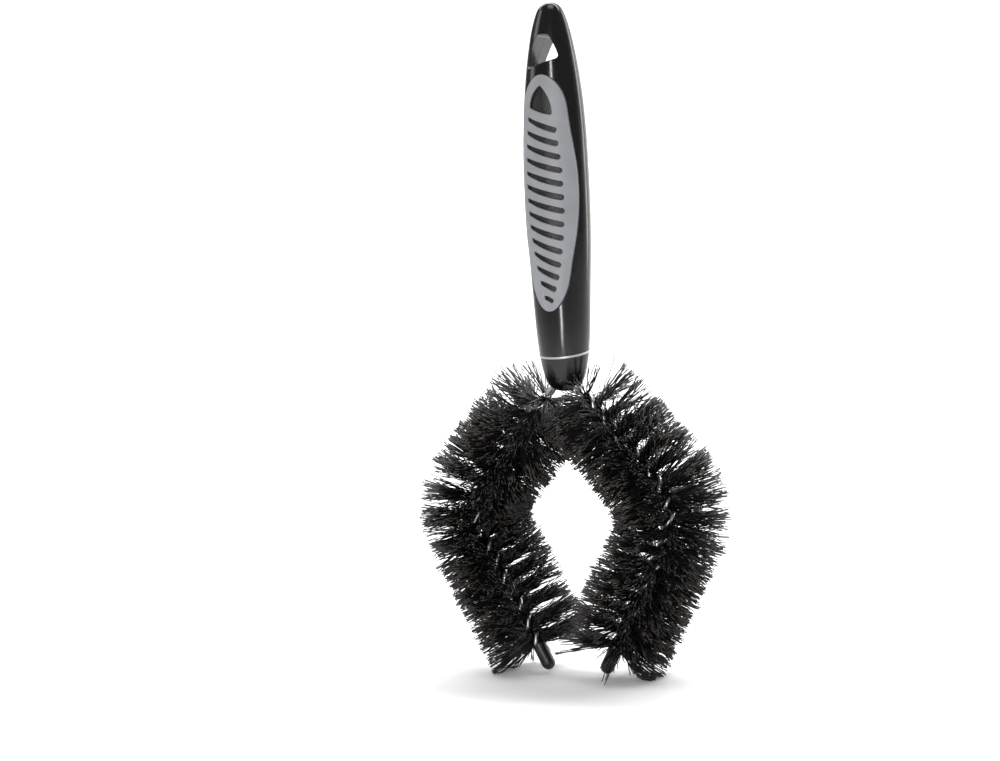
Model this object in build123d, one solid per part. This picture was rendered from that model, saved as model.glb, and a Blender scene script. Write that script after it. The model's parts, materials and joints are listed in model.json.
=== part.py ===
from build123d import *
import os
from math import atan, cos, radians, sin, tan

# Two-prong twisted-wire cleaning brush, in millimetres.
# The origin is the centre of the hang hole and +Z runs up to the handle's butt. The face with the long
# slotted grip pad looks along -Y, and the two bristled prongs hang down in the XZ plane.
# The right-hand prong (+X) is modelled, and the left-hand one is its mirror image.

# ---- handle ----
HANDLE_LENGTH = 160.5  # butt to collar, along the axis
GRIP_WIDTH = 31.0  # side to side at the widest
COLLAR_WIDTH = 24.2  # side to side at the collar
NOSE_LENGTH = 17.8  # collar to the tip of the nose
DEPTH_RATIO = 0.85  # front-to-back size over side-to-side size
WALL = 2.6  # side wall of the shells
SEAM_GAP = 0.2  # fine joint line between the two shells
COLLAR_TILT = 11.5  # degrees, front edge lower
COLLAR_THICKNESS = 1.0
COLLAR_PROUD = 0.25
HOLE_FROM_BUTT = 22.0  # centre of the hang hole
HOLE_WALL = 2.4  # solid plastic between the hang hole and the hollow
COLLAR_TANGENT = (-0.12, -1)  # the slope of the side at the collar
BUTT_FULLNESS = 1.5  # how round the butt is; 1 is plain
SPIGOT_LENGTH = 21.0
SPIGOT_FIT = 0.12  # clearance all round the spigot
BOSS_DIAMETER = 6.4
PEG_DIAMETER = 3.0
PEG_LENGTH = 4.0
PEG_FIT = 0.1
BOSS_FROM_BUTT = [0.374 * HANDLE_LENGTH, 0.698 * HANDLE_LENGTH]

# Half width of the handle as (share of the length, share of the widest half width).
HANDLE_OUTLINE = [(0.037, 0.465), (0.139, 0.729), (0.278, 0.916), (0.480, 1.0), (0.667, 0.987), (0.833, 0.900)]
# Half width of the nose as (share of its length, share of the collar's half width).
NOSE_OUTLINE = [(0.20, 0.950), (0.45, 0.872), (0.73, 0.735), (0.92, 0.505)]
# Corners of the hang hole about its centre: low left, top left, top right, low right.
HOLE_CORNERS = [(-9.8, -9.2), (-2.7, 6.4), (3.0, 6.5), (8.0, -4.3)]
HOLE_BULGE = 0.5  # how far the hole's sides and top bow outward
HOLE_ROUNDING = 1.5

# ---- grip pads ----
PAD_FROM_BUTT = 33.6
PAD_SIDE_MARGIN = 1.4  # of the handle's widest half width, each side of a pad
PAD_WIDTH = GRIP_WIDTH - 2 * PAD_SIDE_MARGIN
PAD_SINK = 0.8  # recess depth at the middle of the pad
PAD_PROUD = 0.3
PAD_EDGE_DEPTH = 4.5  # the pads stop this far from the joint plane
PAD_GROOVE = 0.25  # fine gap round each pad
FRONT_PAD_TO_COLLAR = 19.4
BACK_PAD_TO_COLLAR = 11.9
FRONT_PAD_LENGTH = HANDLE_LENGTH - PAD_FROM_BUTT - FRONT_PAD_TO_COLLAR
BACK_PAD_LENGTH = HANDLE_LENGTH - PAD_FROM_BUTT - BACK_PAD_TO_COLLAR
# Half width of each pad as (share of its length, share of the widest half width), butt end first.
FRONT_PAD_OUTLINE = [(0.053, 0.58), (0.189, 0.83), (0.363, 0.97), (0.532, 1.0), (0.678, 0.92), (0.822, 0.74),
                     (0.949, 0.47)]
BACK_PAD_OUTLINE = [(0.053, 0.58), (0.17, 0.81), (0.32, 0.90), (0.46, 0.74), (0.58, 0.42), (0.69, 0.22),
                    (0.78, 0.42), (0.86, 0.66), (0.93, 0.68), (0.98, 0.42)]
SLOT_PITCH = 6.1
SLOT_WIDTH = 2.7
SLOT_DROP = 7.4  # fall of each slot from its blunt left end to its round right end
SLOT_SAG = 0.9
SLOT_MARGIN = 4.4  # pad left beside each slot
SLOT_BLUNTNESS = 0.7  # height of a slot's left end over its width
FIRST_SLOT_FROM_BUTT = PAD_FROM_BUTT + 22.2
FRONT_SLOTS_UP_TO = 0.96  # share of the pad's length that the slots reach
BACK_SLOTS_UP_TO = 0.47
ARCH_FROM_BUTT = PAD_FROM_BUTT + 4.8
ARCH_CORNERS = [(-6.2, -9.8), (5.6, -14.0)]  # the arch window's low corners, below its apex
ARCH_BULGE = 1.6

# ---- wires ----
STRAND_DIAMETER = 2.4
STRAND_SPACING = 3.1  # between the two legs' centre lines
EXIT_SPACING = 16.2  # between the prongs' centre lines, level with the tip of the nose
ROOT_SPACING = 8.0  # between the two hairpins inside the nose
ROOT_BEND = 9.0
UPPER_ANGLE = 42.3  # degrees outward from straight down
UPPER_LENGTH = 72.6  # nose level to the elbow's corner
LOWER_ANGLE = 28.9  # degrees inward from straight down
LOWER_LENGTH = 88.2  # the elbow's corner to the end of the cap
HINGE_DROP = 1.6  # the prong's flex centre, below the tip of the nose
HINGE_GAP = 0.4  # between the hairpin's legs and the prong's strands
LOOP_ABOVE_NOSE = 30.0  # centre of the loops and of the pin
SPLAY_START = 15.0
SPLAY_END = 21.0
PIN_DIAMETER = 2.6
LOOP_FIT = 0.15  # between the pin and the wire that is folded round it
LOOP_RADIUS = (PIN_DIAMETER + STRAND_DIAMETER) / 2 + LOOP_FIT
PIN_LENGTH = 16.0
PIN_FIT = 0.03
WIRE_FIT = 0.3  # room round each wire inside the nose

# ---- bristles and caps ----
BRISTLE_DIAMETER = 50.0
BRISTLE_BORE_FIT = 0.3
PRONG_GAP = 0.4  # between the two packs where they meet in the middle
CAP_LENGTH = 13.2
CAP_WALL = 0.45
CAP_END = 3.2  # solid end of the cap
CAP_FIT = 0.05

# ---- worked out from the sizes above ----
HUGE = 400.0
COLLAR_Z = HOLE_FROM_BUTT - HANDLE_LENGTH
NOSE_Z = COLLAR_Z - NOSE_LENGTH
ENVELOPE_RADIUS = (STRAND_SPACING + STRAND_DIAMETER) / 2
CAP_RADIUS = ENVELOPE_RADIUS + CAP_FIT + CAP_WALL
ELBOW_RADIUS = BRISTLE_DIAMETER / 2 + 1.0  # the packs never fold over on the inside of the bend
ELBOW_TURN = UPPER_ANGLE + LOWER_ANGLE
ELBOW_SETBACK = ELBOW_RADIUS * tan(radians(ELBOW_TURN / 2))

UPPER_DIR = Vector(sin(radians(UPPER_ANGLE)), 0, -cos(radians(UPPER_ANGLE)))
LOWER_DIR = Vector(-sin(radians(LOWER_ANGLE)), 0, -cos(radians(LOWER_ANGLE)))
EXIT = Vector(EXIT_SPACING / 2, 0, NOSE_Z)
ELBOW = EXIT + UPPER_DIR * UPPER_LENGTH
HINGE = EXIT + UPPER_DIR * (HINGE_DROP / cos(radians(UPPER_ANGLE)))
ROOT_CORNER_Z = NOSE_Z + (EXIT_SPACING - ROOT_SPACING) / 2 / tan(radians(UPPER_ANGLE))
PRONG_START = HINGE + UPPER_DIR * HINGE_GAP
BEND_START = ELBOW - UPPER_DIR * ELBOW_SETBACK
BEND_END = ELBOW + LOWER_DIR * ELBOW_SETBACK
BEND_CENTRE = BEND_START + Vector(UPPER_DIR.Z, 0, -UPPER_DIR.X) * ELBOW_RADIUS
PRONG_END = ELBOW + LOWER_DIR * LOWER_LENGTH
CAP_START = PRONG_END - LOWER_DIR * CAP_LENGTH
STRAND_END = PRONG_END - LOWER_DIR * CAP_END

# Drawn on the round handle, so that flattening leaves the collar at its stated tilt.
ROUND_TILT = atan(DEPTH_RATIO * tan(radians(COLLAR_TILT)))
COLLAR_PLANE = Plane((0, 0, COLLAR_Z), x_dir=(1, 0, 0), z_dir=(0, -sin(ROUND_TILT), cos(ROUND_TILT)))


def below_butt(distance):
    """Height of a point that is this far below the butt."""
    return HOLE_FROM_BUTT - distance


def smooth(points, start, end, fullness=1.0):
    """A smooth curve through points with its end directions given; fullness rounds out its start."""
    return Spline(*points, tangents=[start, end], tangent_scalars=[fullness, 1.0])


def turned_outline(grow):
    """Half of the handle and nose in outline, with its radius grown by a skin."""
    half, collar_half = GRIP_WIDTH / 2, COLLAR_WIDTH / 2
    grip = [(half * share + grow, below_butt(HANDLE_LENGTH * along)) for along, share in HANDLE_OUTLINE]
    nose = [(collar_half * share + grow, COLLAR_Z - NOSE_LENGTH * along) for along, share in NOSE_OUTLINE]
    butt, collar, tip = (0, below_butt(0)), (collar_half + grow, COLLAR_Z), (0, NOSE_Z)
    outline = smooth([butt, *grip, collar], (1, 0), COLLAR_TANGENT, BUTT_FULLNESS)
    outline += smooth([collar, *nose, tip], COLLAR_TANGENT, (-1, 0))
    return Plane.XZ * make_face(outline + Line(tip, butt))


# The handle's pieces are cut while the handle is still round. Flattening each one front to back comes last.
def round_blank(grow=0.0):
    """The whole handle and nose, turned."""
    return revolve(turned_outline(grow), Axis.Z)


def round_half(front, grow=0.0):
    """The front or back half of the turned handle."""
    half = revolve(turned_outline(grow), Axis.Z, 180)
    faces_front = half.bounding_box().center().Y < 0
    return half if faces_front == front else half.rotate(Axis.Z, 180)


def flattened(piece):
    """A finished round piece, flattened front to back."""
    return scale(piece, by=(1, DEPTH_RATIO, 1))


def along_collar(low, high):
    """Everything between two levels measured square to the tilted collar."""
    return COLLAR_PLANE * Pos(0, 0, (low + high) / 2) * Box(HUGE, HUGE, high - low)


def face_plane(front, y=0.0):
    """A drawing plane seen from the front or the back: right is to the viewer's right, and up is +Z."""
    if front:
        return Plane((0, -y, 0), x_dir=(1, 0, 0), z_dir=(0, -1, 0))
    return Plane((0, y, 0), x_dir=(-1, 0, 0), z_dir=(0, 1, 0))


def prism(face, front, y=0.0):
    """A flat outline pushed outward through the front or back skin, from y off the joint plane."""
    return extrude(face_plane(front, y) * face, GRIP_WIDTH)


def half_space(front, y):
    """Everything further than y in front of, or behind, the joint plane."""
    side = -1 if front else 1
    return Pos(0, side * (y + HUGE / 2), 0) * Box(HUGE, HUGE, HUGE)


# ---- outlines ----
def bowed_side(start, end, bulge):
    """An arc that bows to the left of the way from start to end."""
    a, b = Vector(*start), Vector(*end)
    chord = b - a
    left = Vector(-chord.Y, chord.X).normalized()
    return ThreePointArc(a, (a + b) / 2 + left * bulge, b)


def hang_hole():
    """The rounded four-cornered hole, right through both shells."""
    low_left, top_left, top_right, low_right = HOLE_CORNERS
    outline = bowed_side(low_left, top_left, HOLE_BULGE) + bowed_side(top_left, top_right, HOLE_BULGE)
    outline += bowed_side(top_right, low_right, HOLE_BULGE) + Line(low_right, low_left)
    face = make_face(outline)
    return fillet(face.vertices(), HOLE_ROUNDING)


def pad_outline(stations, length, grow=0.0):
    """A pad's closed outline, from its half widths down the handle."""
    top, bottom = below_butt(PAD_FROM_BUTT) + grow, below_butt(PAD_FROM_BUTT + length) - grow
    side = [(PAD_WIDTH / 2 * share + grow, top + (bottom - top) * along) for along, share in stations]
    right = smooth([(0, top), *side, (0, bottom)], (1, 0), (-1, 0))
    return make_face(right + mirror(right, about=Plane.YZ))


def pad_half_width(stations, length, from_butt):
    """Half width of a pad at a distance from the butt, between its stations."""
    share = (from_butt - PAD_FROM_BUTT) / length
    ends = [(0.0, 0.0)] + stations + [(1.0, 0.0)]
    for (along, half), (next_along, next_half) in zip(ends, ends[1:]):
        if along <= share <= next_along:
            part = (share - along) / (next_along - along)
            return PAD_WIDTH / 2 * (half + (next_half - half) * part)
    return 0.0


def slot(half, from_butt):
    """One swept slot: blunt and high at the left, round and low at the right."""
    middle, fall = below_butt(from_butt), SLOT_DROP / 2 * min(1.0, half / (PAD_WIDTH / 4))
    thick = SLOT_WIDTH / 2 * min(1.0, half / SLOT_WIDTH)
    sag = SLOT_SAG * fall / (SLOT_DROP / 2)
    high = (-half, middle + fall)
    below = (-half + thick / 4, middle + fall - 2 * thick * SLOT_BLUNTNESS)
    right, low = half - thick, middle - fall + sag / 2
    upper = ThreePointArc(high, (0, middle - sag + thick), (right, low + thick))
    end = ThreePointArc((right, low + thick), (half, low), (right, low - thick))
    lower = ThreePointArc((right, low - thick), (0, middle - sag - thick), below)
    return make_face(upper + end + lower + Line(below, high))


def arch_window():
    """The pointed window above the slots."""
    apex = (-0.3, below_butt(ARCH_FROM_BUTT))
    (left, left_drop), (right, right_drop) = ARCH_CORNERS
    low_left, low_right = (left, apex[1] + left_drop), (right, apex[1] + right_drop)
    sides = bowed_side(low_left, apex, ARCH_BULGE) + bowed_side(apex, low_right, ARCH_BULGE)
    face = make_face(sides + bowed_side(low_right, low_left, SLOT_SAG / 2))
    return fillet(face.vertices(), SLOT_WIDTH / 3)


def slots(stations, length, up_to):
    """The row of slots, down to a share of the pad's length and each as wide as the pad leaves room for."""
    faces = []
    from_butt = FIRST_SLOT_FROM_BUTT
    while from_butt < PAD_FROM_BUTT + length * up_to:
        half = pad_half_width(stations, length, from_butt) - SLOT_MARGIN
        if half > SLOT_WIDTH / 2:
            faces.append(slot(half, from_butt))
        from_butt += SLOT_PITCH
    return faces


# ---- handle pieces ----
def pad_lump(front, stations, length, groove, proud):
    """The skin that a pad fills, or that its recess takes away."""
    lump = round_half(front, proud) & prism(pad_outline(stations, length, groove), front, PAD_EDGE_DEPTH)
    return lump - round_half(front, -PAD_SINK)


def handle_shell(front, stations, length):
    """One moulded half of the handle, hollow, with its pad recess, half hang hole and bosses."""
    solid = round_half(front) - pad_lump(front, stations, length, PAD_GROOVE, PAD_PROUD)
    top = below_butt(HOLE_FROM_BUTT) + min(y for _, y in HOLE_CORNERS) - HOLE_WALL
    hollow = round_half(front, -WALL) & Pos(0, 0, top - HUGE / 2) * Box(HUGE, HUGE, HUGE)
    for from_butt in BOSS_FROM_BUTT:
        hollow -= Pos(0, 0, below_butt(from_butt)) * Rot(90, 0, 0) * Cylinder(BOSS_DIAMETER / 2, 2 * GRIP_WIDTH)
    solid -= hollow
    solid &= along_collar(COLLAR_THICKNESS / 2, HUGE)
    solid &= half_space(front, SEAM_GAP / 2)
    solid -= extrude(Plane.XZ * hang_hole(), GRIP_WIDTH, both=True)
    for from_butt in BOSS_FROM_BUTT:
        axis = Pos(0, 0, below_butt(from_butt)) * Rot(90, 0, 0)
        if front:
            solid -= axis * Cylinder(PEG_DIAMETER / 2 + PEG_FIT, 2 * (PEG_LENGTH + PEG_FIT))
        else:
            solid += axis * Cylinder(PEG_DIAMETER / 2, 2 * PEG_LENGTH)
    return flattened(solid)


def grip_pad(front, stations, length, openings):
    """One soft pad, seated in its recess and standing a little proud, with its slots cut through."""
    pad = pad_lump(front, stations, length, 0.0, PAD_PROUD)
    return flattened(pad - [prism(face, front) for face in openings])


def collar_ring():
    """The thin tilted ring round the neck of the spigot."""
    ring = round_blank(COLLAR_PROUD) & along_collar(-COLLAR_THICKNESS / 2, COLLAR_THICKNESS / 2)
    return flattened(ring - round_blank(-WALL))


def passage(outline, start, along, length):
    """A round-space cut whose outline, in true size, is carried from start along a direction in the XZ plane."""
    plane = Plane(start, x_dir=(0, 1, 0), z_dir=along)
    return extrude(plane * scale(outline, by=(1 / DEPTH_RATIO, 1, 1)), length)


def nose_cone():
    """The domed nose and its spigot, with a passage for each wire root and the hole for the pin."""
    nose = round_blank() & along_collar(-HUGE / 2, -COLLAR_THICKNESS / 2)
    nose += round_blank(-WALL - SPIGOT_FIT) & along_collar(-COLLAR_THICKNESS / 2, SPIGOT_LENGTH)
    loop = SlotOverall(2 * LOOP_RADIUS + STRAND_DIAMETER + 2 * WIRE_FIT, STRAND_DIAMETER + 2 * WIRE_FIT)
    mouth = Circle(ENVELOPE_RADIUS + WIRE_FIT)
    for side in (1, -1):
        corner = Vector(side * ROOT_SPACING / 2, 0, ROOT_CORNER_Z)
        nose -= passage(loop, corner, Vector(0, 0, 1), HANDLE_LENGTH)
        outward = Vector(side * UPPER_DIR.X, 0, UPPER_DIR.Z)
        nose -= passage(mouth, corner - outward * ENVELOPE_RADIUS, outward, HANDLE_LENGTH)
    pin_start = Vector(-PIN_LENGTH / 2, 0, NOSE_Z + LOOP_ABOVE_NOSE)
    nose -= passage(Circle(PIN_DIAMETER / 2 + PIN_FIT), pin_start, Vector(1, 0, 0), PIN_LENGTH)
    return flattened(nose)


def wire_pin():
    """The steel dowel through both wire loops."""
    return Pos(0, 0, NOSE_Z + LOOP_ABOVE_NOSE) * Rot(0, 90, 0) * Cylinder(PIN_DIAMETER / 2, PIN_LENGTH)


# ---- wires ----
def wire_root():
    """The folded end of one wire: two legs that splay round the pin and leave the nose at the prong's angle."""
    x, spread, loop_z = ROOT_SPACING / 2, STRAND_SPACING / 2, NOSE_Z + LOOP_ABOVE_NOSE
    leg = [(HINGE.X, spread, HINGE.Z), (x, spread, ROOT_CORNER_Z), (x, spread, NOSE_Z + SPLAY_START),
           (x, LOOP_RADIUS, NOSE_Z + SPLAY_END), (x, LOOP_RADIUS, loop_z + LOOP_RADIUS)]
    other = [(px, -py, pz) for px, py, pz in reversed(leg)]
    fold = LOOP_RADIUS * 0.98
    radii = [ROOT_BEND, ROOT_BEND, ROOT_BEND, fold, fold, ROOT_BEND, ROOT_BEND, ROOT_BEND]
    path = FilletPolyline(*leg, *other, radius=radii)
    section = Plane(path @ 0, z_dir=path % 0) * Circle(STRAND_DIAMETER / 2)
    return sweep(section, path=path)


def straight(section, start, end):
    """A section drawn about the wire's centre line, carried straight from start to end."""
    along = end - start
    plane = Plane(start, x_dir=(0, 1, 0), z_dir=along.normalized())
    return extrude(plane * section, along.length)


def bend(section):
    """The same section carried round the elbow."""
    plane = Plane(BEND_START, x_dir=(0, 1, 0), z_dir=UPPER_DIR)
    return revolve(plane * section, Axis(BEND_CENTRE, (0, 1, 0)), revolution_arc=ELBOW_TURN)


def strand(side):
    """One leg of the wire outside the nose; side is -1 for the front leg and 1 for the back one."""
    section = Pos(side * STRAND_SPACING / 2, 0) * Circle(STRAND_DIAMETER / 2)
    upper = straight(section, PRONG_START, BEND_START)
    return upper + bend(section) + straight(section, BEND_END, STRAND_END)


# ---- bristles and caps ----
def bristle_section():
    """The filament pack in section: a disc with room for the wire."""
    return Circle(BRISTLE_DIAMETER / 2) - Circle(ENVELOPE_RADIUS + BRISTLE_BORE_FIT)


def trimmed(pack):
    """A filament pack cut where it meets the other prong's pack in the middle."""
    return pack & Pos(HUGE / 2 + PRONG_GAP / 2, 0, 0) * Box(HUGE, HUGE, 2 * HUGE)


def upper_bristles():
    return trimmed(straight(bristle_section(), PRONG_START, BEND_START))


def elbow_bristles():
    return bend(bristle_section())


def lower_bristles():
    return trimmed(straight(bristle_section(), BEND_END, CAP_START))


def tip_cap():
    """The round-ended cap over both cut wire ends."""
    round_centre = PRONG_END - LOWER_DIR * CAP_RADIUS
    cap = straight(Circle(CAP_RADIUS), CAP_START, round_centre)
    cap += Pos(*round_centre) * Sphere(CAP_RADIUS)
    return cap - straight(Circle(ENVELOPE_RADIUS + CAP_FIT), CAP_START, STRAND_END)


def build():
    """Every node by name."""
    right = {
        "wire_root": wire_root(),
        "front_strand": strand(-1),
        "back_strand": strand(1),
        "upper_bristles": upper_bristles(),
        "elbow_bristles": elbow_bristles(),
        "lower_bristles": lower_bristles(),
        "tip_cap": tip_cap(),
    }
    nodes = {f"right_{name}": piece for name, piece in right.items()}
    nodes.update({f"left_{name}": mirror(piece, about=Plane.YZ) for name, piece in right.items()})
    front_openings = slots(FRONT_PAD_OUTLINE, FRONT_PAD_LENGTH, FRONT_SLOTS_UP_TO) + [arch_window()]
    back_openings = slots(BACK_PAD_OUTLINE, BACK_PAD_LENGTH, BACK_SLOTS_UP_TO) + [arch_window()]
    nodes["handle_front_shell"] = handle_shell(True, FRONT_PAD_OUTLINE, FRONT_PAD_LENGTH)
    nodes["handle_back_shell"] = handle_shell(False, BACK_PAD_OUTLINE, BACK_PAD_LENGTH)
    nodes["front_grip_pad"] = grip_pad(True, FRONT_PAD_OUTLINE, FRONT_PAD_LENGTH, front_openings)
    nodes["back_grip_pad"] = grip_pad(False, BACK_PAD_OUTLINE, BACK_PAD_LENGTH, back_openings)
    nodes["collar_ring"] = collar_ring()
    nodes["nose_cone"] = nose_cone()
    nodes["wire_pin"] = wire_pin()
    return nodes


os.makedirs("parts", exist_ok=True)
for node, piece in build().items():
    export_step(piece, f"parts/{node}.step")
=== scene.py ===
import json
from math import cos, pi, radians, sin

import bpy
import numpy as np
from bpy.props import FloatProperty, FloatVectorProperty, IntProperty, PointerProperty
from mathutils import Matrix, Vector
from mathutils.bvhtree import BVHTree


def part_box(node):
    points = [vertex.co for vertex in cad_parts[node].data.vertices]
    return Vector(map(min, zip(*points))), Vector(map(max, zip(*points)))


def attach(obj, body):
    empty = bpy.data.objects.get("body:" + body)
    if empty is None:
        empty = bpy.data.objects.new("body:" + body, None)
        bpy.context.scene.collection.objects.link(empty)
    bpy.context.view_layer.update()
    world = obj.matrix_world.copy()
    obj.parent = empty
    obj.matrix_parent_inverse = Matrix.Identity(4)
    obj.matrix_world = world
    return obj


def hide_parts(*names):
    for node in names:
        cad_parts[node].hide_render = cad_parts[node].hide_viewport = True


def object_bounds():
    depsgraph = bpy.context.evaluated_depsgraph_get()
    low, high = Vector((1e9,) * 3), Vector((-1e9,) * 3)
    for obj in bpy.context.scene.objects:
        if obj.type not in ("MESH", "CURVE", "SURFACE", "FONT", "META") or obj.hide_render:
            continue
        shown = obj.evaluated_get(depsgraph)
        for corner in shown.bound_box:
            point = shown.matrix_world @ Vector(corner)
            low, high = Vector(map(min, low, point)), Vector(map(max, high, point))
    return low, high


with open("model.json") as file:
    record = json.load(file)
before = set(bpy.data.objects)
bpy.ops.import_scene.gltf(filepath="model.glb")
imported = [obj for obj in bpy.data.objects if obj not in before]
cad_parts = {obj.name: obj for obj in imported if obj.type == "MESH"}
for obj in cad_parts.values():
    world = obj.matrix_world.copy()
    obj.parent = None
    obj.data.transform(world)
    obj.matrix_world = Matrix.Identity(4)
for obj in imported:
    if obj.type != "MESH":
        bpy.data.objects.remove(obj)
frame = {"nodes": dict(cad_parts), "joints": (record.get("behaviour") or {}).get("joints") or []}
cad_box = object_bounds()

bl_info = {
    "name": "Twin-arm Cleaning Brush",
    "version": (1, 0, 0),
    "blender": (4, 5, 0),
    "location": "3D View > Sidebar > Brush",
    "description": "Makes a two-armed cleaning brush: twisted wires, planted bristles, moulded handle",
    "category": "Add Mesh",
}

MM = 0.001
SIDES = {"left": -1, "right": 1}  # the sign of X
JOINTS = {joint["name"]: joint for joint in frame["joints"]}
FLOOR_Z = cad_box[0].z - 1 * MM
SRGB_TOE = 0.04045  # below this an sRGB channel is a straight line


def linear(hex_colour):
    """An sRGB hex colour as the linear RGBA that shaders and lights take."""
    channels = [int(hex_colour[i:i + 2], 16) / 255 for i in (1, 3, 5)]
    return tuple(c / 12.92 if c <= SRGB_TOE else ((c + 0.055) / 1.055) ** 2.4 for c in channels) + (1.0,)


# ---------------------------------------------------------------- settings

class BrushWireSettings(bpy.types.PropertyGroup):
    """The twisted pair of wires in each arm, from the nose to inside the cap."""
    wire_diameter: FloatProperty(
        name="Wire Diameter", description="Thickness of one wire of the twisted pair",
        default=2.4 * MM, min=0.5 * MM, unit="LENGTH")
    wire_offset: FloatProperty(
        name="Wire Offset", description="Distance of each wire's centre from the arm's centre line",
        default=1.55 * MM, min=0, unit="LENGTH")
    twist_pitch: FloatProperty(
        name="Twist Pitch", description="Length of arm that takes one whole turn of the twist",
        default=16.4 * MM, min=4 * MM, unit="LENGTH")
    upper_angle: FloatProperty(
        name="Upper Angle", description="Lean of the upper arm away from straight down",
        default=radians(42.3), subtype="ANGLE", unit="ROTATION")
    upper_length: FloatProperty(
        name="Upper Length", description="Nose to the elbow's corner, along the arm",
        default=70.44 * MM, unit="LENGTH")
    elbow_radius: FloatProperty(
        name="Elbow Radius", description="Radius of the bend on the arm's centre line",
        default=26 * MM, unit="LENGTH")
    lower_angle: FloatProperty(
        name="Lower Angle", description="Lean of the lower arm back towards the middle",
        default=radians(28.9), subtype="ANGLE", unit="ROTATION")
    lower_length: FloatProperty(
        name="Lower Length", description="Elbow's corner to the end of the cap",
        default=88.2 * MM, unit="LENGTH")
    cap_length: FloatProperty(
        name="Cap Length", description="Length of the moulded cap on the end of the arm",
        default=13.2 * MM, unit="LENGTH")
    cap_end: FloatProperty(
        name="Cap End", description="Solid end of the cap, beyond the wires",
        default=3.2 * MM, unit="LENGTH")


class BrushFilamentSettings(bpy.types.PropertyGroup):
    """The bristles that the twisted wires grip."""
    filament_diameter: FloatProperty(
        name="Filament Diameter", description="Thickness of one filament",
        default=0.5 * MM, min=0.1 * MM, unit="LENGTH")
    filament_reach: FloatProperty(
        name="Filament Reach", description="Centre line to the trimmed tip",
        default=25 * MM, unit="LENGTH")
    tufts: IntProperty(name="Tufts", description="Bunches of filaments on each arm", default=1500, min=10)
    tuft_size: IntProperty(name="Tuft Size", description="Filaments in one bunch", default=4, min=1)


class BrushColourSettings(bpy.types.PropertyGroup):
    """The colours that set one make of this brush apart from another."""
    handle_colour: FloatVectorProperty(
        name="Handle", description="Polypropylene of the shells and the nose",
        subtype="COLOR", size=4, min=0, max=1, default=linear("#0c0c0d"))
    pad_colour: FloatVectorProperty(
        name="Grip Pads", description="Elastomer of the two grip pads",
        subtype="COLOR", size=4, min=0, max=1, default=linear("#848589"))
    filament_colour: FloatVectorProperty(
        name="Filaments", description="Dyed nylon of the bristles",
        subtype="COLOR", size=4, min=0, max=1, default=linear("#141312"))
    cap_colour: FloatVectorProperty(
        name="Caps", description="Soft vinyl of the caps on the arms' ends",
        subtype="COLOR", size=4, min=0, max=1, default=linear("#121213"))


# ---------------------------------------------------------------- materials

def add_node(material, kind, settings):
    """Adds a shader node: sets its properties and sockets, and links a socket that is given a socket."""
    node = material.node_tree.nodes.new(kind)
    for key, value in settings.items():
        if isinstance(value, bpy.types.NodeSocket):
            material.node_tree.links.new(value, node.inputs[key])
        elif isinstance(key, int) or key in node.inputs:
            node.inputs[key].default_value = value
        else:
            setattr(node, key, value)
    return node


def new_material(name):
    """A material with no shader yet, and its object coordinates in millimetres."""
    material = bpy.data.materials.new(name)
    material.use_nodes = True
    material.node_tree.nodes.clear()
    place = add_node(material, "ShaderNodeTexCoord", {}).outputs["Object"]
    millimetres = add_node(material, "ShaderNodeVectorMath",
                           {"operation": "SCALE", 0: place, "Scale": 1 / MM})
    return material, millimetres.outputs["Vector"]


def shade(colour, factor):
    """The colour made darker or lighter by a factor."""
    return tuple(min(1.0, c * factor) for c in colour[:3]) + (1.0,)


def recess_mask(material, place):
    """1 on the floors of the pad recesses, seen through the slots: inside an upright ellipse that the
    pads cover, in front of the joint plane and behind it."""
    low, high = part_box("front_grip_pad")
    half_width = (high.x - low.x) / MM * 0.39  # a little inside the pad's own half width
    half_height, middle = (high.z - low.z) / MM / 2, (high.z + low.z) / MM / 2
    moved = add_node(material, "ShaderNodeVectorMath",
                     {"operation": "SUBTRACT", 0: place, 1: (0, 0, middle)})
    squeezed = add_node(material, "ShaderNodeVectorMath",
                        {"operation": "MULTIPLY", 0: moved.outputs["Vector"],
                         1: (1 / half_width, 0, 1 / half_height)})
    length = add_node(material, "ShaderNodeVectorMath",
                      {"operation": "LENGTH", 0: squeezed.outputs["Vector"]})
    inside = add_node(material, "ShaderNodeMapRange",
                      {"Value": length.outputs["Value"], "From Min": 0.97, "From Max": 1.0,
                       "To Min": 1.0, "To Max": 0.0})
    return inside.outputs["Result"]


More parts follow.
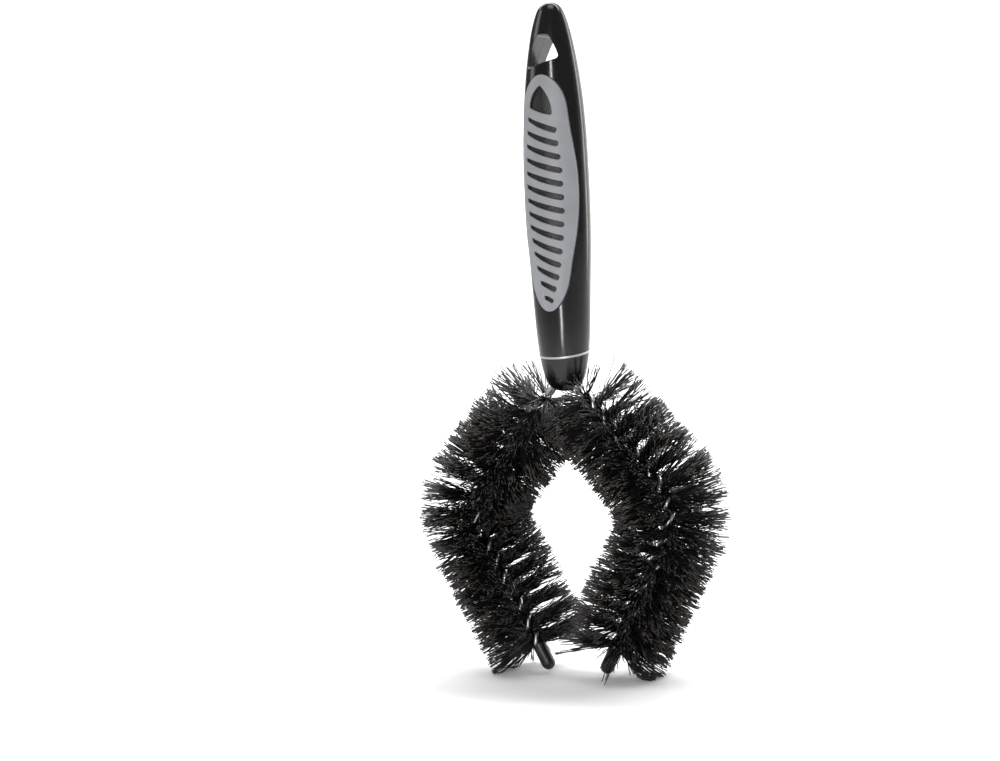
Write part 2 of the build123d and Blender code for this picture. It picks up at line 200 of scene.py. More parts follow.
def polypropylene(colour):
    """Polypropylene, injection moulded against a polished steel mould: a deep gloss that is faintly
    uneven where the thick parts sank, with a few handling marks that scatter the highlight. The floors
    of the pad recesses come from a spark-eroded part of the mould and are matt and stippled."""
    material, place = new_material("polypropylene_moulded_gloss")
    recess = recess_mask(material, place)
    # sink marks about 9 mm across, and a haze in patches of 1.6 mm
    sink = add_node(material, "ShaderNodeTexNoise",
                    {"Vector": place, "Scale": 1 / 9.0, "Detail": 1.0})
    haze = add_node(material, "ShaderNodeTexNoise",
                    {"Vector": place, "Scale": 1 / 1.6, "Detail": 4.0})
    # handling marks run along the handle; they are 0.05 mm wide and drawn at 0.35 mm so that they show
    along = add_node(material, "ShaderNodeVectorMath",
                     {"operation": "MULTIPLY", 0: place, 1: (1.0, 1.0, 0.06)})
    marks = add_node(material, "ShaderNodeTexNoise",
                     {"Vector": along.outputs["Vector"], "Scale": 1 / 0.35, "Detail": 2.0})
    hazy = add_node(material, "ShaderNodeMapRange",
                    {"Value": haze.outputs["Fac"], "To Min": 0.13, "To Max": 0.19})
    marked = add_node(material, "ShaderNodeMapRange",
                      {"Value": marks.outputs["Fac"], "From Min": 0.62, "From Max": 0.78,
                       "To Min": 0.0, "To Max": 0.09})
    gloss = add_node(material, "ShaderNodeMath",
                     {"operation": "ADD", 0: hazy.outputs["Result"], 1: marked.outputs["Result"]})
    matt = add_node(material, "ShaderNodeMapRange", {"Value": recess, "To Min": 0.0, "To Max": 0.36})
    rough = add_node(material, "ShaderNodeMath",
                     {"operation": "MAXIMUM", 0: gloss.outputs["Value"], 1: matt.outputs["Result"]})
    tone = add_node(material, "ShaderNodeMix",
                    {"data_type": "RGBA", 0: haze.outputs["Fac"], 6: colour, 7: shade(colour, 1.3)})
    # the stipple is 0.2 mm and drawn at 0.7 mm so that it shows through the slots
    stipple = add_node(material, "ShaderNodeTexVoronoi", {"Vector": place, "Scale": 1 / 0.7})
    pitted = add_node(material, "ShaderNodeMath",
                      {"operation": "MULTIPLY", 0: stipple.outputs["Distance"], 1: recess})
    height = add_node(material, "ShaderNodeMath",
                      {"operation": "MULTIPLY_ADD", 0: pitted.outputs["Value"], 1: 6.0,
                       2: sink.outputs["Fac"]})
    rounded = add_node(material, "ShaderNodeBevel", {"samples": 6, "Radius": 0.25 * MM})
    relief = add_node(material, "ShaderNodeBump",
                      {"Height": height.outputs["Value"], "Strength": 0.6, "Distance": 0.05 * MM,
                       "Normal": rounded.outputs["Normal"]})
    shader = add_node(material, "ShaderNodeBsdfPrincipled",
                      {"Base Color": tone.outputs[2], "Roughness": rough.outputs["Value"],
                       "Normal": relief.outputs["Normal"], "IOR": 1.49, "Specular IOR Level": 0.45})
    add_node(material, "ShaderNodeOutputMaterial", {"Surface": shader.outputs["BSDF"]})
    return material


def elastomer(colour):
    """Thermoplastic elastomer, moulded over the shell from a spark-eroded mould: satin, with an
    even fine grain and a slight bloom where hands polish it."""
    material, place = new_material("elastomer_overmoulded_satin")
    # the real grain is 0.1 mm; it is drawn at 0.35 mm so that it shows
    grain = add_node(material, "ShaderNodeTexVoronoi", {"Vector": place, "Scale": 1 / 0.35})
    # patches of 14 mm polished by hands, and specks of 0.5 mm
    worn = add_node(material, "ShaderNodeTexNoise",
                    {"Vector": place, "Scale": 1 / 14.0, "Detail": 2.0})
    speck = add_node(material, "ShaderNodeTexNoise",
                     {"Vector": place, "Scale": 1 / 0.5, "Detail": 2.0})
    patches = add_node(material, "ShaderNodeMapRange",
                       {"Value": worn.outputs["Fac"], "From Min": 0.35, "From Max": 0.65})
    specks = add_node(material, "ShaderNodeMapRange",
                      {"Value": speck.outputs["Fac"], "From Min": 0.5, "From Max": 0.7,
                       "To Min": 0.0, "To Max": 0.4})
    body = add_node(material, "ShaderNodeMix",
                    {"data_type": "RGBA", 0: patches.outputs["Result"],
                     6: shade(colour, 0.94), 7: shade(colour, 1.05)})
    tone = add_node(material, "ShaderNodeMix",
                    {"data_type": "RGBA", 0: specks.outputs["Result"],
                     6: body.outputs[2], 7: shade(colour, 0.85)})
    rough = add_node(material, "ShaderNodeMapRange",
                     {"Value": patches.outputs["Result"], "To Min": 0.42, "To Max": 0.54})
    rounded = add_node(material, "ShaderNodeBevel", {"samples": 6, "Radius": 0.4 * MM})
    relief = add_node(material, "ShaderNodeBump",
                      {"Height": grain.outputs["Distance"], "Strength": 0.5, "Distance": 0.04 * MM,
                       "Normal": rounded.outputs["Normal"]})
    shader = add_node(material, "ShaderNodeBsdfPrincipled",
                      {"Base Color": tone.outputs[2], "Roughness": rough.outputs["Result"],
                       "Normal": relief.outputs["Normal"], "IOR": 1.5, "Specular IOR Level": 0.35})
    add_node(material, "ShaderNodeOutputMaterial", {"Surface": shader.outputs["BSDF"]})
    return material


def plated_ring():
    """Nickel plate on a moulded ring, brushed round: silver grey with fine lines along the ring."""
    material, place = new_material("nickel_plated_brushed")
    # brush lines 0.12 mm apart up the handle, long round it
    across = add_node(material, "ShaderNodeVectorMath",
                      {"operation": "MULTIPLY", 0: place, 1: (0.08, 0.08, 1.0)})
    lines = add_node(material, "ShaderNodeTexNoise",
                     {"Vector": across.outputs["Vector"], "Scale": 1 / 0.12, "Detail": 2.0})
    rough = add_node(material, "ShaderNodeMapRange",
                     {"Value": lines.outputs["Fac"], "To Min": 0.22, "To Max": 0.38})
    rounded = add_node(material, "ShaderNodeBevel", {"samples": 6, "Radius": 0.15 * MM})
    relief = add_node(material, "ShaderNodeBump",
                      {"Height": lines.outputs["Fac"], "Strength": 0.4, "Distance": 0.01 * MM,
                       "Normal": rounded.outputs["Normal"]})
    shader = add_node(material, "ShaderNodeBsdfPrincipled",
                      {"Base Color": linear("#a9abae"), "Metallic": 1.0,
                       "Roughness": rough.outputs["Result"], "Normal": relief.outputs["Normal"]})
    add_node(material, "ShaderNodeOutputMaterial", {"Surface": shader.outputs["BSDF"]})
    return material


def galvanised_wire():
    """Steel wire, zinc coated and then drawn: bright grey with darker zinc patches about 1.5 mm
    across and the fine unevenness that a drawing die leaves, which breaks up the highlight."""
    material, place = new_material("steel_wire_galvanised_drawn")
    zinc = add_node(material, "ShaderNodeTexNoise",
                    {"Vector": place, "Scale": 1 / 1.5, "Detail": 3.0})
    # die marks are 0.1 mm and drawn at 0.3 mm so that they show
    fine = add_node(material, "ShaderNodeTexNoise",
                    {"Vector": place, "Scale": 1 / 0.3, "Detail": 2.0})
    patches = add_node(material, "ShaderNodeMapRange",
                       {"Value": zinc.outputs["Fac"], "From Min": 0.35, "From Max": 0.65})
    tone = add_node(material, "ShaderNodeMix",
                    {"data_type": "RGBA", 0: patches.outputs["Result"],
                     6: linear("#a9abad"), 7: linear("#d4d5d6")})
    rough = add_node(material, "ShaderNodeMapRange",
                     {"Value": zinc.outputs["Fac"], "To Min": 0.24, "To Max": 0.42})
    rounded = add_node(material, "ShaderNodeBevel", {"samples": 6, "Radius": 0.1 * MM})
    relief = add_node(material, "ShaderNodeBump",
                      {"Height": fine.outputs["Fac"], "Strength": 0.4, "Distance": 0.02 * MM,
                       "Normal": rounded.outputs["Normal"]})
    shader = add_node(material, "ShaderNodeBsdfPrincipled",
                      {"Base Color": tone.outputs[2], "Metallic": 1.0,
                       "Roughness": rough.outputs["Result"], "Normal": relief.outputs["Normal"]})
    add_node(material, "ShaderNodeOutputMaterial", {"Surface": shader.outputs["BSDF"]})
    return material


def nylon(colour):
    """Nylon filament, extruded and dyed in the melt: nearly black and lightly glossy, each filament
    its own shade, and a little browner towards the cut tip where light gets in."""
    material = new_material("nylon_filament_extruded")[0]
    tone = add_node(material, "ShaderNodeAttribute", {"attribute_name": "tone"}).outputs["Fac"]
    run = add_node(material, "ShaderNodeAttribute", {"attribute_name": "run"}).outputs["Fac"]
    towards_tip = add_node(material, "ShaderNodeMapRange",
                           {"Value": run, "From Min": 0.72, "From Max": 1.0,
                            "To Min": 0.0, "To Max": 0.6})
    body = add_node(material, "ShaderNodeMix",
                    {"data_type": "RGBA", 0: tone, 6: shade(colour, 0.7), 7: shade(colour, 2.6)})
    # painted light: the tips are painted browner where light would shine through the thin cut ends; the
    # filament's own dye is the body colour
    tip = add_node(material, "ShaderNodeMix",
                   {"data_type": "RGBA", 0: tone, 6: linear("#171412"), 7: linear("#33281f")})
    dye_and_tip_glow = add_node(material, "ShaderNodeMix",
                    {"data_type": "RGBA", 0: towards_tip.outputs["Result"],
                     6: body.outputs[2], 7: tip.outputs[2]})
    shader = add_node(material, "ShaderNodeBsdfPrincipled",
                      {"Base Color": dye_and_tip_glow.outputs[2], "IOR": 1.53, "Roughness": 0.36,
                       "Specular IOR Level": 0.5})
    add_node(material, "ShaderNodeOutputMaterial", {"Surface": shader.outputs["BSDF"]})
    return material


def vinyl_cap(colour):
    """Soft vinyl, dip moulded: black satin with shallow dimples and a lighter scuff here and there."""
    material, place = new_material("vinyl_dipped_satin")
    # dimples of 1.1 mm and scuffs of 0.4 mm
    dimples = add_node(material, "ShaderNodeTexNoise",
                       {"Vector": place, "Scale": 1 / 1.1, "Detail": 2.0})
    scuff = add_node(material, "ShaderNodeTexNoise",
                     {"Vector": place, "Scale": 1 / 0.4, "Detail": 3.0})
    scuffs = add_node(material, "ShaderNodeMapRange",
                      {"Value": scuff.outputs["Fac"], "From Min": 0.55, "From Max": 0.75})
    tone = add_node(material, "ShaderNodeMix",
                    {"data_type": "RGBA", 0: scuffs.outputs["Result"], 6: colour, 7: shade(colour, 2.2)})
    rough = add_node(material, "ShaderNodeMapRange",
                     {"Value": dimples.outputs["Fac"], "To Min": 0.3, "To Max": 0.46})
    rounded = add_node(material, "ShaderNodeBevel", {"samples": 6, "Radius": 0.3 * MM})
    relief = add_node(material, "ShaderNodeBump",
                      {"Height": dimples.outputs["Fac"], "Strength": 0.6, "Distance": 0.05 * MM,
                       "Normal": rounded.outputs["Normal"]})
    shader = add_node(material, "ShaderNodeBsdfPrincipled",
                      {"Base Color": tone.outputs[2], "Roughness": rough.outputs["Result"],
                       "Normal": relief.outputs["Normal"], "IOR": 1.53, "Specular IOR Level": 0.4})
    add_node(material, "ShaderNodeOutputMaterial", {"Surface": shader.outputs["BSDF"]})
    return material


def painted_board(name, colour):
    """Emulsion on smooth board, rolled: flat and pale, with barely any sheen."""
    material, place = new_material(name)
    # the roller leaves areas about 40 mm across a shade apart
    rolled = add_node(material, "ShaderNodeTexNoise",
                      {"Vector": place, "Scale": 1 / 40.0, "Detail": 2.0})
    tone = add_node(material, "ShaderNodeMix",
                    {"data_type": "RGBA", 0: rolled.outputs["Fac"], 6: colour, 7: shade(colour, 0.985)})
    shader = add_node(material, "ShaderNodeBsdfPrincipled",
                      {"Base Color": tone.outputs[2], "IOR": 1.45, "Roughness": 0.9,
                       "Specular IOR Level": 0.1})
    add_node(material, "ShaderNodeOutputMaterial", {"Surface": shader.outputs["BSDF"]})
    return material


def finish_node(node_name, material):
    """The CAD node keeps its mesh and gets the material."""
    node = frame["nodes"][node_name]
    node.data.materials.clear()
    node.data.materials.append(material)


# ---------------------------------------------------------------- the arms' centre line

class ArmLine:
    """The centre line of one arm in metres: straight, elbow, straight, in the plane of the brush."""

    def __init__(self, side_name, wires):
        side = SIDES[side_name]
        self.hinge = np.array(JOINTS[side_name + "_prong_flex"]["pos_m"], float)
        turn = wires.upper_angle + wires.lower_angle
        setback = wires.elbow_radius * np.tan(turn / 2)
        self.radius = wires.elbow_radius
        self.upper = wires.upper_length - setback
        self.elbow = self.radius * turn
        self.length = self.upper + self.elbow + wires.lower_length - setback
        self.down = np.array((side * sin(wires.upper_angle), 0, -cos(wires.upper_angle)))
        self.out = np.array((side * cos(wires.upper_angle), 0, sin(wires.upper_angle)))
        self.centre = self.hinge + self.down * self.upper - self.out * self.radius
        self.turn = turn
        # the front wire leaves the nose on the side of the brush's face, -Y
        self.face = -np.sign(self.at([0])[3][0][1])

    def at(self, run):
        """Place, direction, outward normal and sideways normal at each distance along the arm."""
        run = np.asarray(run, float)[:, None]
        angle = np.clip((run - self.upper) / self.radius, 0, self.turn)
        out = np.cos(angle) * self.out + np.sin(angle) * self.down
        down = np.cos(angle) * self.down - np.sin(angle) * self.out
        straight = np.minimum(run - self.upper, 0) + np.maximum(run - self.upper - self.elbow, 0)
        place = self.centre + out * self.radius + down * straight
        return place, down, out, np.cross(down, out)


def unit(vectors):
    """Vectors made 1 long."""
    return vectors / np.linalg.norm(vectors, axis=-1, keepdims=True)


def tube_mesh(name, rings, attributes=None):
    """A mesh of closed tubes from rings of points shaped (tubes, rings, sides, 3)."""
    tubes, count, sides, _ = rings.shape
    index = np.arange(tubes * count * sides).reshape(tubes, count, sides)
    near, far = index[:, :-1], index[:, 1:]
    quads = np.stack((near, np.roll(near, -1, 2), np.roll(far, -1, 2), far), -1).reshape(-1, 4)
    ends = np.concatenate((index[:, 0, ::-1], index[:, -1]))
    mesh = bpy.data.meshes.new(name)
    mesh.vertices.add(index.size)
    mesh.vertices.foreach_set("co", rings.astype(np.float32).ravel())
    loops = np.concatenate((quads.ravel(), ends.ravel()))
    starts = np.concatenate((np.arange(len(quads)) * 4, len(quads) * 4 + np.arange(len(ends)) * sides))
    mesh.loops.add(len(loops))
    mesh.loops.foreach_set("vertex_index", loops.astype(np.int32))
    mesh.polygons.add(len(starts))
    mesh.polygons.foreach_set("loop_start", starts.astype(np.int32))
    mesh.polygons.foreach_set("use_smooth", np.arange(len(starts)) < len(quads))
    for key, values in (attributes or {}).items():
        layer = mesh.attributes.new(key, "FLOAT", "POINT")
        at_points = np.repeat(values.reshape(tubes, count, 1), sides, 2)
        layer.data.foreach_set("value", at_points.astype(np.float32).ravel())
    mesh.update(calc_edges=True)
    mesh.validate()
    piece = bpy.data.objects.new(name, mesh)
    bpy.context.scene.collection.objects.link(piece)
    return piece


# ---------------------------------------------------------------- operators

class BRUSH_OT_handle_shells(bpy.types.Operator):
    """Finishes the two handle shells and the nose in gloss polypropylene"""
    bl_idname = "brush.handle_shells"
    bl_label = "Handle Shells and Nose"

    def execute(self, context):
        material = polypropylene(tuple(context.scene.brush_colours.handle_colour))
        for name in ("handle_front_shell", "handle_back_shell", "nose_cone"):
            finish_node(name, material)
        return {"FINISHED"}


class BRUSH_OT_grip_pads(bpy.types.Operator):
    """Finishes the two grip pads in satin elastomer"""
    bl_idname = "brush.grip_pads"
    bl_label = "Grip Pads"

    def execute(self, context):
        material = elastomer(tuple(context.scene.brush_colours.pad_colour))
        for name in ("front_grip_pad", "back_grip_pad"):
            finish_node(name, material)
        return {"FINISHED"}


class BRUSH_OT_collar_ring(bpy.types.Operator):
    """Finishes the collar ring in brushed nickel plate"""
    bl_idname = "brush.collar_ring"
    bl_label = "Collar Ring"

    def execute(self, context):
        finish_node("collar_ring", plated_ring())
        return {"FINISHED"}


class BRUSH_OT_twisted_wires(bpy.types.Operator):
    """Twists each arm's two wires round each other, in place of the straight CAD strands"""
    bl_idname = "brush.twisted_wires"
    bl_label = "Twisted Wires"

    SIDES_ROUND = 14  # corners of a wire's section
    STEP = 0.8 * MM  # between rings along a wire

    def execute(self, context):
        wires = context.scene.brush_wires
        material = galvanised_wire()
        for side_name in SIDES:
            line = ArmLine(side_name, wires)
            run = np.arange(0.1 * MM, line.length - wires.cap_end, self.STEP)
            for strand, start in (("front", 0.0), ("back", pi)):
                angle = start + line.face * pi / 2 + 2 * pi * run / wires.twist_pitch
                place, down, out, sideways = line.at(run)
                away = np.cos(angle)[:, None] * out + np.sin(angle)[:, None] * sideways
                centre = place + away * wires.wire_offset
                along = unit(np.gradient(centre, axis=0))
                across = unit(np.cross(along, away))
                away = unit(np.cross(across, along))
                ring = np.arange(self.SIDES_ROUND)[None, :, None] * 2 * pi / self.SIDES_ROUND
                rings = centre[:, None] + wires.wire_diameter / 2 * (
                    np.cos(ring) * away[:, None] + np.sin(ring) * across[:, None])
                wire = tube_mesh(f"{side_name}_{strand}_twisted_wire", rings[None])
                wire.data.materials.append(material)
                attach(wire, side_name + "_prong")
                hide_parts(f"{side_name}_{strand}_strand")
        for name in ("wire_pin", "left_wire_root", "right_wire_root"):
            finish_node(name, material)
        return {"FINISHED"}


class BRUSH_OT_filaments(bpy.types.Operator):
    """Plants tufts of nylon filament between the twisted wires, in place of the CAD bristle rolls"""
    bl_idname = "brush.filaments"
    bl_label = "Filaments"

    RINGS = 7  # along a filament
    CORNERS = 3  # of its section
    FIRST_SEED = 11
    STRAYS = 0.25  # share of the tufts that don't keep to their row
    SPREAD, STRAY_SPREAD = radians(9), radians(22)
    END_STRETCH = 6 * MM  # how far in from an arm's end the tufts lean outward
    ELBOW_STRETCH = 0.09  # how much further filaments reach outside the elbow
    SKIN = 0.7 * MM  # a filament that touches the nose keeps this far off it
    MOST_SHIFT = 2.5 * MM  # a filament that would have to move further isn't planted
    NOSE_SEARCH = 25 * MM  # how far a point looks for the nose
    CARRIED = 0.9  # share of a press that the next ring takes over

    def execute(self, context):
        wires, filaments = context.scene.brush_wires, context.scene.brush_filaments
        material = nylon(tuple(context.scene.brush_colours.filament_colour))
        nose = frame["nodes"]["nose_cone"].data
        nose_tree = BVHTree.FromPolygons([v.co for v in nose.vertices], [p.vertices for p in nose.polygons])
        for seed, side_name in enumerate(SIDES, self.FIRST_SEED):
            line = ArmLine(side_name, wires)
            centres, run, tone = self.grow(line, wires, filaments, np.random.default_rng(seed))
            kept = self.press_off_nose(centres, line, side_name, nose_tree)
            centres, run, tone = centres[kept], run[kept], tone[kept]
            # the lowest filaments bend where they meet the floor
            lowest = FLOOR_Z + filaments.filament_diameter
            centres[:, :, 2] = np.maximum(centres[:, :, 2], lowest)
            stretches = {"upper": run < line.upper, "lower": run > line.upper + line.elbow}
            stretches["elbow"] = ~(stretches["upper"] | stretches["lower"])
            for stretch, chosen in stretches.items():
                if not chosen.any():
                    raise RuntimeError(f"no filaments on the {side_name} {stretch} stretch")
                piece = self.planted(f"{side_name}_{stretch}_filaments", centres[chosen], tone[chosen],
                                     filaments.filament_diameter)
                piece.data.materials.append(material)
                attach(piece, side_name + "_prong")
                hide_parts(f"{side_name}_{stretch}_bristles")
        return {"FINISHED"}

    def grow(self, line, wires, filaments, draw):
        """Centre lines of every filament, each from the middle of the wires to its trimmed tip."""
        tufts, size, rings = filaments.tufts, filaments.tuft_size, self.RINGS
        # the tufts start just below the nose and end just before the cap
        first, last = 1.2 * MM, line.length - wires.cap_length - 0.6 * MM
        tuft_run = first + (last - first) * (np.arange(tufts) + draw.uniform(0, 1, tufts)) / tufts
        # a filament lies across the gap between the wires, so the tufts stand in two helical rows
        row = np.where(draw.uniform(0, 1, tufts) < 0.5, 0.0, pi)
        spread = np.where(draw.uniform(0, 1, tufts) < self.STRAYS, self.STRAY_SPREAD, self.SPREAD)
        tuft_angle = (row + line.face * pi / 2 + pi / 2 + 2 * pi * tuft_run / wires.twist_pitch
                      + draw.normal(0, 1, tufts) * spread)
        tuft_lean = np.clip(draw.normal(0, 1, tufts), -1.6, 1.6) * spread * 0.55
        # the end tufts lean away from the rest, with nothing beyond them to hold them straight
        tuft_lean -= radians(6) * np.exp(-(tuft_run - first) / self.END_STRETCH)
        tuft_lean += radians(9) * np.exp(-(last - tuft_run) / self.END_STRETCH)
        # the filaments of a tuft lie within about half a millimetre and a few degrees of each other
        number = tufts * size
        tuft = np.repeat(np.arange(tufts), size)
        run = np.clip(tuft_run[tuft] + draw.normal(0, 0.45 * MM, number), first, last)
        angle = tuft_angle[tuft] + draw.normal(0, radians(5), number)
        lean = tuft_lean[tuft] + draw.normal(0, radians(3.5), number)
        place, down, out, sideways = line.at(run)
        away = np.cos(angle)[:, None] * out + np.sin(angle)[:, None] * sideways
        round_arm = np.cross(down, away)
        pointing = np.cos(lean)[:, None] * away + np.sin(lean)[:, None] * down
        # the trim isn't quite even, and six filaments in a hundred are cut short
        uneven = draw.normal(0, 0.018, number) + draw.normal(0, 0.022, tufts)[tuft]
        reach = filaments.filament_reach * (1 + uneven)
        reach *= np.where(draw.uniform(0, 1, number) < 0.06, draw.uniform(0.8, 0.97, number), 1)
        # on the outside of the elbow the wire's bend pushes the filaments further out
        bend = np.sin(pi * np.clip((run - line.upper) / line.elbow, 0, 1))
        reach *= 1.02 + self.ELBOW_STRETCH * bend * np.clip(np.cos(angle), 0, 1)
        reach /= np.cos(lean)
        step = np.linspace(0, 1, rings)
        centres = place[:, None] + (reach[:, None] * step)[..., None] * pointing[:, None]
        # each filament keeps some of the curl of its spool, and tufts draw together at their tips
        for axis, tuft_curl, own_curl in ((round_arm, 1.0, 1.0), (down, 0.6, 0.9)):
            curl = (draw.normal(0, tuft_curl, tufts)[tuft] + draw.normal(0, own_curl, number)) * MM
            wave = draw.normal(0, 0.28, number) * MM
            phase = draw.uniform(0, 2 * pi, number)
            turns = draw.uniform(1.2, 2.4, number)
            swing = np.sin(phase[:, None] + 2 * pi * turns[:, None] * step) - np.sin(phase)[:, None]
            shift = curl[:, None] * step ** 2 + wave[:, None] * swing * np.minimum(step * 3, 1)
            centres = centres + shift[..., None] * axis[:, None]
        tip = centres[:, -1]
        middle = np.stack([np.bincount(tuft, tip[:, k], tufts) for k in range(3)], -1) / size
        pull = draw.uniform(0, 0.5, tufts)[tuft]
        centres += (pull[:, None] * step ** 2)[..., None] * (middle[tuft] - tip)[:, None]
        tone = draw.normal(0.45, 0.22, tufts)[tuft] + draw.normal(0, 0.18, number)
        return centres, run, np.clip(tone, 0, 1)

    def press_off_nose(self, centres, line, side_name, nose_tree):
        """Lays the filaments that graze the nose against it, with the arm flexed right out and then at
        rest, and says which to keep: one that would have to wrap right round the nose isn't planted."""
        joint = JOINTS[side_name + "_prong_flex"]
        kept = np.ones(len(centres), bool)
        near_nose = np.flatnonzero(centres[:, :, 2].max(1) > line.hinge[2] - 1 * MM)
        for angle in sorted(joint["range_deg"], reverse=True):
            turned = np.array(Matrix.Rotation(radians(angle), 3, Vector(joint["axis"])))
            for i in near_nose:
                points = (centres[i] - line.hinge) @ turned.T + line.hinge
                shift = np.zeros_like(points)
                for k, point in enumerate(points[1:], 1):
                    near, normal, _, distance = nose_tree.find_nearest(Vector(point), self.NOSE_SEARCH)
                    if near is None:
                        continue
                    inside = (Vector(point) - near).dot(normal) < 0
                    if inside or distance < self.SKIN:
                        shift[k] = np.array(near + normal * self.SKIN) - point
                kept[i] &= np.linalg.norm(shift, axis=1).max() < self.MOST_SHIFT
                # what lies beyond the place that is pressed is carried along with it
                carried = shift.copy()
                for k in range(1, len(points)):
                    if not shift[k].any():
                        carried[k] = carried[k - 1] * self.CARRIED
                centres[i] = (points + carried - line.hinge) @ turned + line.hinge
        # a filament that passes in front of the nose or behind it isn't planted either
        low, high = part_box("nose_cone")
        beside = (np.abs(centres[:, :, 0]) > high.x * 0.95) | (centres[:, :, 2] < low.z + 2.5 * MM)
        return kept & beside.all(axis=1)

    def planted(self, name, centres, tone, diameter):
        """A piece with a closed tube round each filament's centre line, and its tone and run for the dye."""
        along = unit(np.gradient(centres, axis=1))
        chord = unit(centres[:, -1] - centres[:, 0])
        guide = np.where(np.abs(chord[:, 1:2]) < 0.8, [[0, 1, 0]], [[1, 0, 0]])
        across = unit(np.cross(along, guide[:, None]))
        over = np.cross(along, across)
        corner = np.arange(self.CORNERS)[:, None] * 2 * pi / self.CORNERS
        rings = centres[:, :, None] + diameter / 2 * (
            np.cos(corner) * across[:, :, None] + np.sin(corner) * over[:, :, None])
        run = np.tile(np.linspace(0, 1, self.RINGS), (len(centres), 1))
        return tube_mesh(name, rings, {"tone": np.repeat(tone[:, None], self.RINGS, 1), "run": run})


class BRUSH_OT_tip_caps(bpy.types.Operator):
    """Finishes the caps on the arms' ends in dipped vinyl"""
    bl_idname = "brush.tip_caps"
    bl_label = "Tip Caps"

    def execute(self, context):
        material = vinyl_cap(tuple(context.scene.brush_colours.cap_colour))
        for name in ("left_tip_cap", "right_tip_cap"):
            finish_node(name, material)
        return {"FINISHED"}


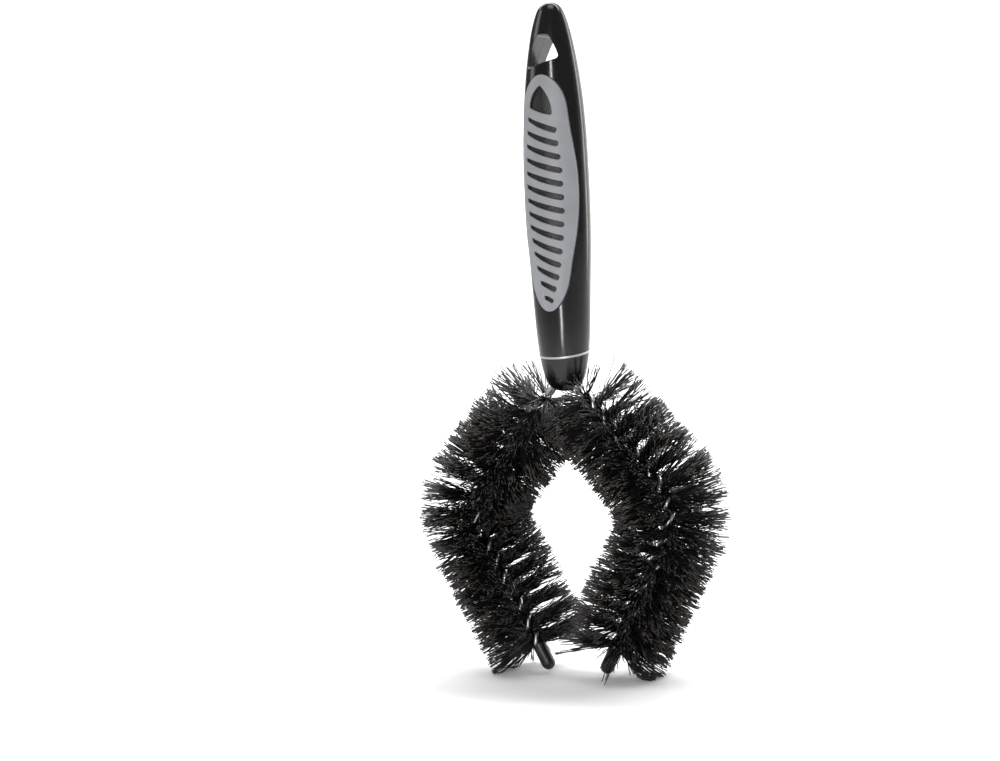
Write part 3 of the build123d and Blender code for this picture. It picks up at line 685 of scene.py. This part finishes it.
class BRUSH_OT_stage(bpy.types.Operator):
    """Sets up the floor, the wall, the lights and the camera"""
    bl_idname = "brush.stage"
    bl_label = "Stage"

    def execute(self, context):
        scene = context.scene
        self.cove()
        nose_tip = Vector((0, 0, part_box("nose_cone")[0].z))
        self.lights(nose_tip)
        self.camera(scene, nose_tip)
        world = bpy.data.worlds.new("studio_air")
        world.use_nodes = True
        world.node_tree.nodes["Background"].inputs["Color"].default_value = linear("#f4f6f8")
        world.node_tree.nodes["Background"].inputs["Strength"].default_value = 0.24
        scene.world = world
        scene.view_settings.view_transform = "Standard"
        return {"FINISHED"}

    def cove(self):
        """A floor that curves up into the wall, as one sheet."""
        front, back, curve, height, half_width = -3.0, 1.2, 0.6, 3.0, 4.0
        profile = [(front, 0.0), (back, 0.0)]
        profile += [(back + sin(a) * curve, curve - cos(a) * curve) for a in np.linspace(0, pi / 2, 17)[1:]]
        profile += [(back + curve, height)]
        points = [(x, y, FLOOR_Z + z) for y, z in profile for x in (-half_width, half_width)]
        faces = [(2 * i, 2 * i + 1, 2 * i + 3, 2 * i + 2) for i in range(len(profile) - 1)]
        mesh = bpy.data.meshes.new("floor_cove")
        mesh.from_pydata(points, [], faces)
        mesh.shade_smooth()
        cove = bpy.data.objects.new("floor_cove", mesh)
        bpy.context.scene.collection.objects.link(cove)
        mesh.materials.append(painted_board("emulsion_rolled_white", linear("#fbfbfb")))

    def lights(self, aim):
        """A strip for the streak down the handle, soft boxes each side and above, and a wash on the wall.
        Places and sizes are in metres, and powers in watts."""
        for name, place, size, power, target in (
            ("strip_left", (0.14, -0.79, 0.04), (0.05, 0.62), 4.0, Vector((0.0, 0.0, 0.04))),
            ("soft_box_left", (-1.3, -0.5, 0.6), (0.5, 0.9), 3.5, aim),
            ("soft_box_right", (0.8, 1.0, 0.3), (0.15, 1.0), 3.0, aim),
            ("top_box", (0.1, -0.3, 1.3), (0.7, 0.7), 5.0, aim),
            ("wall_wash", (-0.5, 0.75, 1.7), (4.0, 0.5), 100.0, Vector((-0.5, 1.8, 0.0))),
        ):
            data = bpy.data.lights.new(name, "AREA")
            data.shape = "RECTANGLE"
            data.size, data.size_y = size
            data.energy = power
            light = bpy.data.objects.new(name, data)
            light.location = place
            light.rotation_euler = (target - light.location).to_track_quat("-Z", "Y").to_euler()
            light.visible_camera = False
            bpy.context.scene.collection.objects.link(light)

    def camera(self, scene, aim):
        """A long lens, level with the nose, that looks from the brush's right and is rolled a little."""
        azimuth, elevation, distance, roll = radians(30), radians(3.4), 0.9, radians(-2.45)
        back = Vector((sin(azimuth) * cos(elevation), -cos(azimuth) * cos(elevation), sin(elevation)))
        data = bpy.data.cameras.new("studio_camera")
        data.lens, data.sensor_width = 70, 36
        data.shift_x, data.shift_y = -0.066, 0.0105
        data.clip_start, data.clip_end = 0.05, 20
        camera = bpy.data.objects.new("studio_camera", data)
        camera.location = aim + back * distance
        turn = (-back).to_track_quat("-Z", "Y").to_matrix() @ Matrix.Rotation(roll, 3, "Z")
        camera.rotation_euler = turn.to_euler()
        scene.collection.objects.link(camera)
        scene.camera = camera


OPERATORS = (BRUSH_OT_handle_shells, BRUSH_OT_grip_pads, BRUSH_OT_collar_ring, BRUSH_OT_twisted_wires,
             BRUSH_OT_filaments, BRUSH_OT_tip_caps, BRUSH_OT_stage)


class BRUSH_PT_sidebar(bpy.types.Panel):
    """Lists the brush's sizes, its colours and the steps that make it"""
    bl_label = "Cleaning Brush"
    bl_idname = "BRUSH_PT_sidebar"
    bl_space_type = "VIEW_3D"
    bl_region_type = "UI"
    bl_category = "Brush"

    def draw(self, context):
        column = self.layout.column()
        scene = context.scene
        for group in (scene.brush_wires, scene.brush_filaments, scene.brush_colours):
            for name in group.__annotations__:
                column.prop(group, name)
        for operator in OPERATORS:
            column.operator(operator.bl_idname)


CLASSES = (BrushWireSettings, BrushFilamentSettings, BrushColourSettings, *OPERATORS, BRUSH_PT_sidebar)


def register():
    """Registers the classes and hangs the settings on the scene"""
    for cls in CLASSES:
        bpy.utils.register_class(cls)
    bpy.types.Scene.brush_wires = PointerProperty(type=BrushWireSettings)
    bpy.types.Scene.brush_filaments = PointerProperty(type=BrushFilamentSettings)
    bpy.types.Scene.brush_colours = PointerProperty(type=BrushColourSettings)


def unregister():
    """Takes the settings and the classes away again"""
    del bpy.types.Scene.brush_colours, bpy.types.Scene.brush_filaments, bpy.types.Scene.brush_wires
    for cls in reversed(CLASSES):
        bpy.utils.unregister_class(cls)


def main():
    """Makes the whole brush and its stage"""
    register()
    for operator in OPERATORS:
        group, name = operator.bl_idname.split(".")
        getattr(getattr(bpy.ops, group), name)()


if __name__ == "__main__":
    main()
